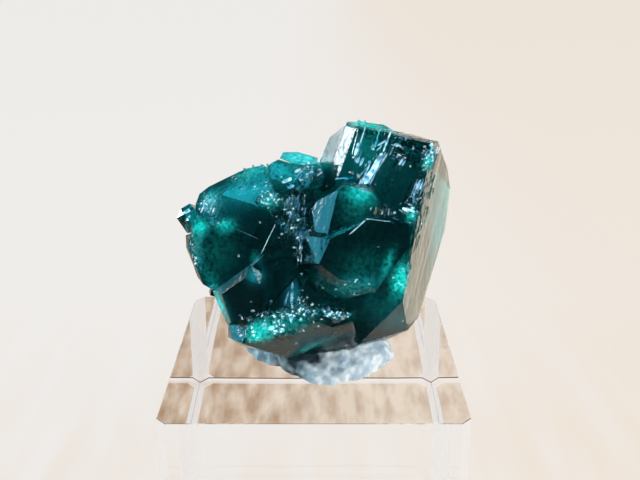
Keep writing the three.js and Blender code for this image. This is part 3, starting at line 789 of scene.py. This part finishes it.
# %% [markdown]
# Each tiny crystal gets three axes: up, near the normal of the face it sits on, and two across. Most are
# very small and a few larger, by the third power of an even random number. One product of arrays then
# turns, scales and moves all the copies at once.

# %% Grow the tiny crystals
DRUSE_LEAN = 0.55
DRUSE_LENGTH = (0.9, 1.7)
DRUSE_SUNK_MM = 0.05
DRUSE_GLOW = 0.6


def unit(vectors):
    """Each vector divided by its length."""
    return vectors / np.linalg.norm(vectors, axis=1, keepdims=True)


rng = np.random.default_rng(64)
share = np.clip(field(shaped, DRUSE_SPOTS) - DRUSE_FROM, 0, 1)
places, growing = scattered(shaped, triangles, share, DRUSE_COUNT, rng)
upward = unit(growing + DRUSE_LEAN * rng.normal(size=(DRUSE_COUNT, 3)))
sideways = unit(np.cross(upward, rng.normal(size=(DRUSE_COUNT, 3))))
third = np.cross(upward, sideways)
thinnest, thickest = DRUSE_RADIUS_MM
radius = thinnest + (thickest - thinnest) * rng.random((DRUSE_COUNT, 1)) ** 3
length = radius * rng.uniform(*DRUSE_LENGTH, (DRUSE_COUNT, 1))
corners, walls, tips, base = small_crystal()
grown = (places - DRUSE_SUNK_MM * growing)[:, None] + (
    corners[:, 0, None] * (radius * sideways)[:, None]
    + corners[:, 1, None] * (radius * third)[:, None]
    + corners[:, 2, None] * (length * upward)[:, None])
start = len(corners) * np.arange(DRUSE_COUNT)[:, None, None]
druse_faces = [*(walls + start).reshape(-1, 4).tolist(), *(tips + start).reshape(-1, 3).tolist(),
               *(base + start[:, 0]).tolist()]
druse_fields = all_fields(grown.reshape(-1, 3))
per_crystal = np.repeat(rng.random(DRUSE_COUNT), len(corners))
druse_fields["glow"] = np.clip(DRUSE_GLOW * druse_fields["glow"] * per_crystal, 0, 1)
druse_fields["glint"] *= per_crystal
druse = mesh_object("tiny_crystals", to_world(grown.reshape(-1, 3)), druse_faces, None, druse_fields)
druse.data.materials.append(dioptase)
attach(druse, "root")

# %% [markdown]
# A dioptase prism grows in layers. Each layer ends in a long low step, whose left side faces the window. A
# bump texture would only hint at the steps, so they are slim ridges: a three-cornered profile that swells
# and closes along a short path. The bright streaks along them are painted glints, light of their own in the
# finish. The ones that show most are listed one by one, in the cluster's frame.

# %% Growth steps with painted glints
STEPS = [
    # x and y of both ends, width (mm), brightness of the painted glint
    ((3.05, 7.7), (2.55, 5.9), 0.1, 0.7),
    ((2.6, 6.6), (2.35, 5.7), 0.2, 0.85),
    ((4.1, 7.6), (3.75, 6.3), 0.1, 0.7),
    ((3.85, 6.6), (3.7, 6.3), 0.2, 0.9),
    ((4.75, 7.4), (4.3, 5.9), 0.13, 1.0),
    ((4.45, 6.7), (3.85, 6.35), 0.12, 0.6),
    ((5.0, 6.5), (5.3, 6.35), 0.22, 0.8),
    ((4.95, 6.3), (4.7, 5.7), 0.1, 0.5),
    ((4.2, 5.9), (3.4, 4.4), 0.3, 1.0),
    ((3.5, 4.8), (3.05, 3.75), 0.26, 1.0),
    ((3.5, 4.7), (2.6, 3.75), 0.2, 0.9),
    ((2.65, 5.6), (2.5, 5.2), 0.22, 0.6),
    ((2.95, 5.6), (2.7, 5.0), 0.16, 0.7),
    ((3.4, 5.4), (3.3, 5.15), 0.2, 0.5),
    ((1.9, 4.8), (1.3, 3.7), 0.1, 0.6),
    ((2.3, 4.9), (1.8, 3.6), 0.08, 0.4),
    ((5.6, 5.5), (5.3, 5.05), 0.16, 0.7),
    ((5.75, 5.35), (5.55, 5.0), 0.12, 0.6),
    ((6.8, 4.1), (6.35, 3.0), 0.2, 0.7),
    ((7.0, 4.0), (6.75, 3.4), 0.14, 0.5),
    ((6.35, 3.2), (6.3, 2.5), 0.14, 0.5),
    ((7.75, 6.3), (7.55, 5.7), 0.2, 0.8),
    ((5.6, 2.2), (5.9, 2.0), 0.2, 1.0),
    ((5.9, 2.05), (6.35, 2.0), 0.16, 0.8),
    ((-1.0, 5.2), (-1.6, 4.3), 0.1, 0.4),  # between the two upper crystals
    ((-0.5, 5.0), (-1.2, 4.0), 0.1, 0.5),
    ((-2.6, 3.95), (-1.95, 4.3), 0.26, 0.8),  # bright facets of the upper left knob
    ((-1.75, 4.65), (-1.35, 5.0), 0.24, 0.8),
    ((-2.3, 3.6), (-1.7, 3.75), 0.16, 0.7),
    ((-9.5, 1.9), (-9.05, 2.15), 0.26, 0.9),  # tip at the far left
    ((-9.3, 1.35), (-9.05, 1.75), 0.2, 0.8),
    ((-7.6, 3.1), (-8.1, 1.7), 0.16, 0.6),  # left end of the sloping top
    ((-7.3, 2.9), (-7.7, 1.8), 0.12, 0.5),
    ((-7.95, 2.8), (-8.35, 1.9), 0.12, 0.5),
    ((-2.95, 1.1), (-3.9, -0.9), 0.045, 0.3),  # edges round the dark hollow
    ((-3.9, -0.9), (-4.7, -2.0), 0.045, 0.3),
    ((-5.9, 0.8), (-4.0, 0.1), 0.04, 0.2),
    ((1.9, 0.35), (2.9, 1.35), 0.12, 0.35),  # ledge on the big front crystal
    ((2.9, 1.4), (4.6, 1.2), 0.07, 0.35),
    ((-1.9, -2.7), (-1.8, -4.3), 0.22, 0.6),  # pale splinter
    ((-2.1, -3.3), (-2.3, -4.3), 0.14, 0.4),
]
STEP_POINTS = 14
STEP_RISE = 0.35
STEP_SUNK_MM = 0.03
CREST_ASIDE = 0.3


def ridges(middles, normals, along, lengths, widths):
    """Slim ridges, each on its own place with its own normal n. At t from −1 to 1 the middle line is
    middle + t·length/2·along, and the half width h is width/2·√(1 − t⁴). The crest lies CREST_ASIDE·h right
    of the middle, at a height of 2·STEP_RISE·h, and the feet are sunk a little below the face."""
    t = np.linspace(-1, 1, STEP_POINTS)[None, :, None]
    half = widths[:, None, None] / 2 * np.sqrt(1 - t ** 4 + 1e-4)
    line = middles[:, None] + t * (lengths / 2)[:, None, None] * along[:, None]
    across = np.cross(along, normals)[:, None]
    out = normals[:, None]
    rows = np.stack([
        line - half * across - STEP_SUNK_MM * out,
        line + CREST_ASIDE * half * across + 2 * STEP_RISE * half * out,
        line + half * across - STEP_SUNK_MM * out], axis=2)
    start = 3 * STEP_POINTS * np.arange(len(middles))[:, None]
    end = start + 3 * (STEP_POINTS - 1)
    quads = (start[:, :, None] + ring_quads(STEP_POINTS, 3)).reshape(-1, 4)
    caps = np.vstack([start + np.array([2, 1, 0]), end + np.array([0, 1, 2])])
    return rows.reshape(-1, 3), quads.tolist() + caps.tolist()


def under(flat_places, reach_mm=0.3):
    """The foremost vertex of the cluster within reach of each x and y, as its number."""
    apart = np.linalg.norm(flat_places[:, None] - shaped[None, :, :2], axis=2)
    return np.where(apart < reach_mm, shaped[None, :, 2], -99 - apart).argmax(axis=1)


# %% [markdown]
# A listed step has only x and y, so it takes its depth and its normal from the cluster's vertex below its
# middle. Each broad step on the long prism has three thin dim ones beside it.

# %% Set the growth steps on their faces
COMPANION_OVER_MM = 0.18
COMPANIONS_AT_MM = (-0.22, 0.2, 0.34)
COMPANION_SPREAD_MM = (0.06, 0.25)
COMPANION_SIZE_AND_LIGHT = (0.35, 0.55)
LONG_PRISM_OVER_X_MM = 1


def along_face(directions, normals):
    """Each direction less its part along the normal, at unit length."""
    return unit(directions - normals * (directions * normals).sum(axis=1)[:, None])


shaped_normals = vertex_normals(shaped, triangles)
ends = np.array([(start, end) for start, end, width, light in STEPS])
sizes = np.array([(width, light) for start, end, width, light in STEPS])
broad = np.flatnonzero((sizes[:, 0] > COMPANION_OVER_MM) & (ends[:, 0, 0] > LONG_PRISM_OVER_X_MM))
for aside in COMPANIONS_AT_MM:
    moved = np.array((aside, 0)) + rng.normal(size=(len(broad), 1, 1)) * np.array(COMPANION_SPREAD_MM)
    ends = np.concatenate([ends, ends[broad] + moved])
    sizes = np.vstack([sizes, sizes[broad] * COMPANION_SIZE_AND_LIGHT])
nearest = under(ends.mean(axis=1))
step_normals = shaped_normals[nearest]
flat = np.c_[ends.mean(axis=1), shaped[nearest, 2]]
# each middle moves to the plane of the face below it
offset = ((shaped[nearest] - flat) * step_normals).sum(axis=1) / step_normals[:, 2]
step_middles = flat + np.c_[np.zeros((len(flat), 2)), offset]
step_path = np.c_[ends[:, 1] - ends[:, 0], np.zeros(len(ends))]
step_lengths = np.linalg.norm(step_path, axis=1)
step_along = along_face(step_path, step_normals)
print(len(STEPS), "steps laid by hand and", len(ends) - len(STEPS), "beside them")

# %% [markdown]
# Short steps are strewn by chance: thin columns in the hollow, a few of them with a bright painted glint,
# and dark etched lines on the right side of the long prism. All run along the prism's axis, give or take a
# few degrees.

# %% Strew short steps and build them all
STRAY_SPOTS = [
    ((-1.8, 2.0, 0.0), (1.2, 2.1, 1.6), -8, 0.6),  # columns in the hollow
    ((-1.2, -0.4, 0.4), (0.8, 1.6, 1.6), -8, 0.45),
    ((-0.9, 4.6, -1.0), (0.8, 0.8, 1.4), 0, 0.5),
    ((-7.4, 2.5, -1.8), (0.7, 0.8, 1.2), 30, 0.7),  # left end of the sloping top
]
ETCH_SPOTS = [
    ((6.4, 0.3, -0.6), (0.6, 3.4, 1.6), -14, 1.0),  # right side of the long prism
    ((7.3, 3.4, -1.2), (0.6, 2.4, 1.6), -14, 0.8),
]
STREWN_FROM = 0.2
STRAYS = {"count": 260, "turn": 0.12, "length_mm": (0.2, 0.9), "width_mm": (0.05, 0.11)}
ETCHES = {"count": 70, "turn": 0.1, "length_mm": (0.2, 0.8), "width_mm": (0.06, 0.15)}


def strewn(spots, kind):
    """Places by chance where the spots are, the normals there, and directions near the prism's axis."""
    strewn_share = np.clip(field(shaped, spots) - STREWN_FROM, 0, 1)
    places, normals = scattered(shaped, triangles, strewn_share, kind["count"], rng)
    directions = PRISM_AXIS + kind["turn"] * rng.normal(size=places.shape)
    return places, normals, along_face(directions, normals)


def random_sizes(what):
    """Random numbers of both kinds of strewn steps, between the limits that each kind has for it."""
    return np.concatenate([rng.uniform(*kind[what], kind["count"]) for kind in (STRAYS, ETCHES)])


strays, etches = strewn(STRAY_SPOTS, STRAYS), strewn(ETCH_SPOTS, ETCHES)
laid = (step_middles, step_normals, step_along)
step_points, step_faces = ridges(
    *(np.vstack(three) for three in zip(laid, strays, etches)),
    np.r_[step_lengths, random_sizes("length_mm")],
    np.r_[sizes[:, 0], random_sizes("width_mm")])
# painted glint of every step; the sixth power leaves only a few of the strays bright, and the etches get
# none
light = np.r_[sizes[:, 1], rng.uniform(0.0, 0.85, STRAYS["count"]) ** 6, np.zeros(ETCHES["count"])]
steps = mesh_object("growth_steps", to_world(step_points), step_faces, None, {
    "painted_streak": np.repeat(light, 3 * STEP_POINTS)})
steps.data.materials.append(dioptase)
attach(steps, "root")

# %% [markdown]
# The cube is cast acrylic, cut and polished. It could be Blender's cube with a bevel modifier, but its
# corner cuts, foot and top edge all differ. So the surface is a profile carried round the outline: out
# along the bevel, up the side, and in over the top by a few hundredths of a millimetre, which draws thin
# bright edges.

# %% The clear cube
HALF_MM = CUBE_MM / 2
CORNER_CUT_MM = 0.7
EDGE_RADIUS_MM = 0.06
EDGE_STEPS = 4
FOOT_BEVEL_MM = 0.45
FOOT_LINE_MM = 0.22


def cube_surface():
    """Rings of the cut-cornered outline from the bottom up: one drawn in by the bevel, two at full size,
    below and above a thin line, and some drawn in by r(1 − cos a) at a depth of r(1 − sin a), a from 0 to
    90°."""
    near, far = HALF_MM - CORNER_CUT_MM, HALF_MM
    outline = np.array([
        (near, -far), (far, -near), (far, near), (near, far),
        (-near, far), (-far, near), (-far, -near), (-near, -far)])
    angle = np.linspace(0, math.pi / 2, EDGE_STEPS)
    insets = np.r_[FOOT_BEVEL_MM, 0, 0, EDGE_RADIUS_MM * (1 - np.cos(angle))]
    above_line = FOOT_BEVEL_MM + FOOT_LINE_MM
    heights = np.r_[0, FOOT_BEVEL_MM, above_line, CUBE_MM - EDGE_RADIUS_MM * (1 - np.sin(angle))]
    # drawing the outline in by d scales it by (far − d)/far, close enough at this size
    rings = outline[None] * ((far - insets) / far)[:, None, None]
    count, sides = rings.shape[:2]
    points = np.concatenate([rings, np.broadcast_to(heights[:, None, None], (count, sides, 1))], axis=2)
    caps = [list(range(sides))[::-1], list(range((count - 1) * sides, count * sides))]
    return points.reshape(-1, 3), ring_quads(count, sides).tolist() + caps


cube_points, cube_faces = cube_surface()
cube = mesh_object("clear_cube", cube_points * MM, cube_faces)
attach(cube, "root")
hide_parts("acrylic_cube")

# %% [markdown]
# Polished acrylic is as clear as glass, with an index of 1.49, and faintly wavy. From outside, its top
# would mirror the strong blue sky that the crystals need, so there a part of it only lets light in.
# Inside, the walls mirror fully.

# %% Polished cast acrylic
ACRYLIC_IOR = 1.49
WAVY = {"wide_mm": 6, "deep_mm": 0.05, "strength": 0.3}
OUTER_MIRROR_LOST = 0.75

acrylic, tree = new_material("cast_acrylic")
place = add(tree, "TexCoord").outputs["Object"]
waviness = add(tree, "TexNoise", {"Vector": place, "Scale": scale_of(WAVY["wide_mm"]), "Detail": 1})
wavy = add(tree, "Bump", {
    "Height": waviness.outputs["Fac"], "Strength": WAVY["strength"], "Distance": WAVY["deep_mm"] * MM})
polished = add(tree, "BsdfPrincipled", {
    "Base Color": (1, 1, 1, 1), "Transmission Weight": 1.0, "IOR": ACRYLIC_IOR, "Roughness": 0.0,
    "Normal": wavy})
lets_in = add(tree, "BsdfRefraction", {
    "Color": (1, 1, 1, 1), "IOR": ACRYLIC_IOR, "Roughness": 0.0, "Normal": wavy})
inside = add(tree, "NewGeometry").outputs["Backfacing"]
lost = add(tree, "MapRange", {"Value": inside, "To Min": OUTER_MIRROR_LOST, "To Max": 0.0})
top_look = add(tree, "MixShader", {0: lost, 1: polished, 2: lets_in})
add(tree, "OutputMaterial", {"Surface": top_look})
cube.data.materials.append(acrylic)
print("cast acrylic, index", ACRYLIC_IOR)

# %% [markdown]
# The corner cuts and the bevel round the foot are only sanded. They scatter light, and so show as pale
# blurred bands through the clear body; part of their brightness is painted, as a glow of their own. Above
# the bevel, a fine line is painted dark brown as shade, where the polished wall ends. Each face of the cube
# then gets the number of its finish.

# %% Sanded acrylic with a painted glow, and a painted dark line
SANDED_GLOW_WHITE = "#f1ecea"
SANDED_GLOW = 1.05
SANDED_GLOW_SHARE = 0.55
SHADE_LINE_BROWN = "#8f7565"
SIDES = 8
POLISHED, SANDED, PAINTED_LINE = 0, 1, 2
BEVEL_RING, LINE_RING, WALL_RING = 0, 1, 2

satin, tree = new_material("sanded_acrylic_with_painted_glow")
rough = add(tree, "BsdfPrincipled", {
    "Base Color": (1, 1, 1, 1), "Transmission Weight": 1.0, "IOR": ACRYLIC_IOR, "Roughness": 0.45})
# painted glow: part of the sanded faces' brightness is light of their own
glowing = add(tree, "Emission", {"Color": linear(SANDED_GLOW_WHITE), "Strength": SANDED_GLOW})
blended = add(tree, "MixShader", {0: SANDED_GLOW_SHARE, 1: rough, 2: glowing})
add(tree, "OutputMaterial", {"Surface": blended})
cube.data.materials.append(satin)

shade_line, tree = new_material("painted_shade_line_on_acrylic")
# painted shade: a dark brown band where the polished wall meets the bevel
dull = add(tree, "BsdfPrincipled", {
    "Base Color": linear(SHADE_LINE_BROWN), "Roughness": 0.5, "IOR": ACRYLIC_IOR})
add(tree, "OutputMaterial", {"Surface": dull})
cube.data.materials.append(shade_line)

number = np.arange(len(cube.data.polygons))
ring = number // SIDES
corner_cut = (ring == WALL_RING) & (number % 2 == 0)
finish = np.select([(ring == BEVEL_RING) | corner_cut, ring == LINE_RING], [SANDED, PAINTED_LINE], POLISHED)
cube.data.polygons.foreach_set("material_index", finish.astype(np.int32))
print((finish == SANDED).sum(), "sanded faces")

# %% [markdown]
# The putty is a soft white mineral tack, pinched into a pad with the fingers and then pressed out by the
# crystals. It could be sculpted by hand, but a formula can be changed later. It is one closed sheet: a
# profile that bulges out over its foot and closes in the middle, carried round the pad's outline.

# %% The putty pad
PAD_OUTLINE = np.array([
    # x, y on the cube's top, and how high the pad stands there
    (5.6, -0.6, 1.5), (5.2, 1.6, 2.0), (3.6, 3.6, 2.4), (1.0, 4.5, 2.6), (-2.2, 4.4, 2.6), (-4.4, 3.0, 2.6),
    (-5.1, 1.0, 2.5), (-4.5, -0.6, 2.4), (-3.3, -1.9, 2.1), (-2.2, -3.1, 1.9), (-1.0, -4.1, 1.5),
    (0.5, -4.9, 1.05), (2.2, -4.6, 1.2), (3.6, -3.8, 1.8), (4.7, -2.6, 1.9), (5.5, -1.6, 1.7)])
PAD_MIDDLE = np.array((0.3, 0.4))
PAD_MIDDLE_RISE = 1.6
PAD_AROUND = 220
PAD_UP = 70


def pad_surface():
    """Points middle + k(v)·(outline(u) − middle) at height h(v)·(k(v)·top(u) + (1 − k(v))·rise). h rises as
    sin and k falls as cos of a quarter turn, each to a power that makes the side steep and the top flat.
    Between its points p0 to p3 the outline is ½(2p1 + (p2 − p0)t + (2p0 − 5p1 + 4p2 − p3)t² +
    (3p1 − p0 − 3p2 + p3)t³), a smooth curve through them all."""
    u = np.linspace(0, 1, PAD_AROUND, endpoint=False) * len(PAD_OUTLINE)
    i = np.floor(u).astype(int)
    t = (u - i)[:, None]
    p0, p1, p2, p3 = (PAD_OUTLINE[(i + k) % len(PAD_OUTLINE)] for k in (-1, 0, 1, 2))
    outline = 0.5 * (2 * p1 + (p2 - p0) * t + (2 * p0 - 5 * p1 + 4 * p2 - p3) * t ** 2
                     + (3 * p1 - p0 - 3 * p2 + p3) * t ** 3)
    v = np.linspace(0, 1, PAD_UP) * math.pi / 2
    shrink = np.cos(v) ** 0.6
    rise = np.sin(v) ** 0.8
    spread = shrink[:, None, None] * (outline[None, :, :2] - PAD_MIDDLE) + PAD_MIDDLE
    height = rise[:, None] * (
        shrink[:, None] * outline[None, :, 2] + (1 - shrink[:, None]) * PAD_MIDDLE_RISE)
    points = np.concatenate([spread, height[:, :, None] + CUBE_MM], axis=2).reshape(-1, 3)
    return points, ring_quads(PAD_UP, PAD_AROUND).tolist() + [list(range(PAD_AROUND))[::-1]]


pad_points, pad_faces = pad_surface()
print("pad of", len(pad_points), "points")

# %% [markdown]
# Three sizes of noise push its points in and out from the middle, as finger marks do. The dents, and most
# of all the pinched crease under the crystals at the front, get painted shade, kept as an attribute.

# %% Lumps and painted shade on the putty
PAD_LUMPS = [(0.4, 1.5, 21), (0.22, 0.62, 22), (0.13, 0.3, 23)]  # height and size in mm, seed
LUMPS_UPWARD = 0.8
PAD_CLEAR_MM = 0.005
FOLD_SHADE = {"middle": (-0.3, -3.2), "half": (1.9, 0.9), "strength": 1.2}
SHADED_DENT_MM = 0.5

outward = unit(pad_points - np.r_[PAD_MIDDLE, CUBE_MM - 1])
lumps = sum(height * noise(pad_points, size, seed) for height, size, seed in PAD_LUMPS)
pad_points = pad_points + outward * lumps[:, None] * (1, 1, LUMPS_UPWARD)
pad_points[:, 2] = np.maximum(pad_points[:, 2], CUBE_MM + PAD_CLEAR_MM)
# painted shade: strongest in the pinched crease under the crystals at the front, and in the dents
from_fold = (pad_points[:, :2] - FOLD_SHADE["middle"]) / FOLD_SHADE["half"]
fold_shade = FOLD_SHADE["strength"] * np.exp(-(from_fold ** 2).sum(axis=1))
painted_crease_shade = np.clip(-lumps / SHADED_DENT_MM + fold_shade, 0, 1)
PAD_SHARP_OVER_DEGREES = 60
putty = mesh_object("putty_pad", pad_points * MM, pad_faces, PAD_SHARP_OVER_DEGREES, {"painted_crease_shade": painted_crease_shade})
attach(putty, "root")
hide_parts("mineral_putty")

# %% [markdown]
# Mineral putty is matt, a little see-through, and cold white with grey clouds where it was kneaded. Its
# dents and the crease under the crystals get painted shade, a dark grey.

# %% Mineral putty
PUTTY_WHITE = "#f2f6f8"
PUTTY_CLOUD = "#b4c5d0"
# the colour of the painted shade in the dents and the crease
CREASE_SHADE_GREY = "#2e3c42"
DENT = {"wide_mm": 0.6, "deep_mm": 0.15}
CLOUD_MM = 0.9

putty_material, tree = new_material("white_mineral_putty")
place = add(tree, "TexCoord").outputs["Object"]
dents = add(tree, "TexNoise", {
    "Vector": place, "Scale": scale_of(DENT["wide_mm"]), "Detail": 6, "Roughness": 0.6})
dented = add(tree, "Bump", {
    "Height": dents.outputs["Fac"], "Strength": 1.0, "Distance": DENT["deep_mm"] * MM})
cloud = add(tree, "TexNoise", {"Vector": place, "Scale": scale_of(CLOUD_MM), "Detail": 4})
clouded = add(tree, "MapRange", {"Value": cloud.outputs["Fac"], "From Min": 0.35, "From Max": 0.65})
white = add(tree, "Mix", {
    "Factor": clouded, 6: linear(PUTTY_CLOUD), 7: linear(PUTTY_WHITE)}, data_type="RGBA")
crease_shade_here = add(tree, "Attribute", attribute_name="painted_crease_shade").outputs["Fac"]
shaded_putty = add(tree, "Mix", {
    "Factor": crease_shade_here, 6: white.outputs[2], 7: linear(CREASE_SHADE_GREY)}, data_type="RGBA")
soft = add(tree, "BsdfPrincipled", {
    "Base Color": shaded_putty.outputs[2], "Roughness": 0.55, "IOR": 1.45, "Normal": dented,
    "Subsurface Weight": 0.2, "Subsurface Radius": (1.0, 1.0, 1.0), "Subsurface Scale": 0.3 * MM})
add(tree, "OutputMaterial", {"Surface": soft})
putty.data.materials.append(putty_material)
print("putty with", len(tree.nodes), "nodes")

# %% [markdown]
# Light passes many surfaces in a crystal in front of a clear cube, so more bounces than usual are allowed.

# %% Colour and bounces
scene = bpy.context.scene
scene.view_settings.view_transform = "Standard"
scene.cycles.max_bounces = 14
scene.cycles.transmission_bounces = 12
scene.cycles.glossy_bounces = 6
scene.cycles.use_denoising = True
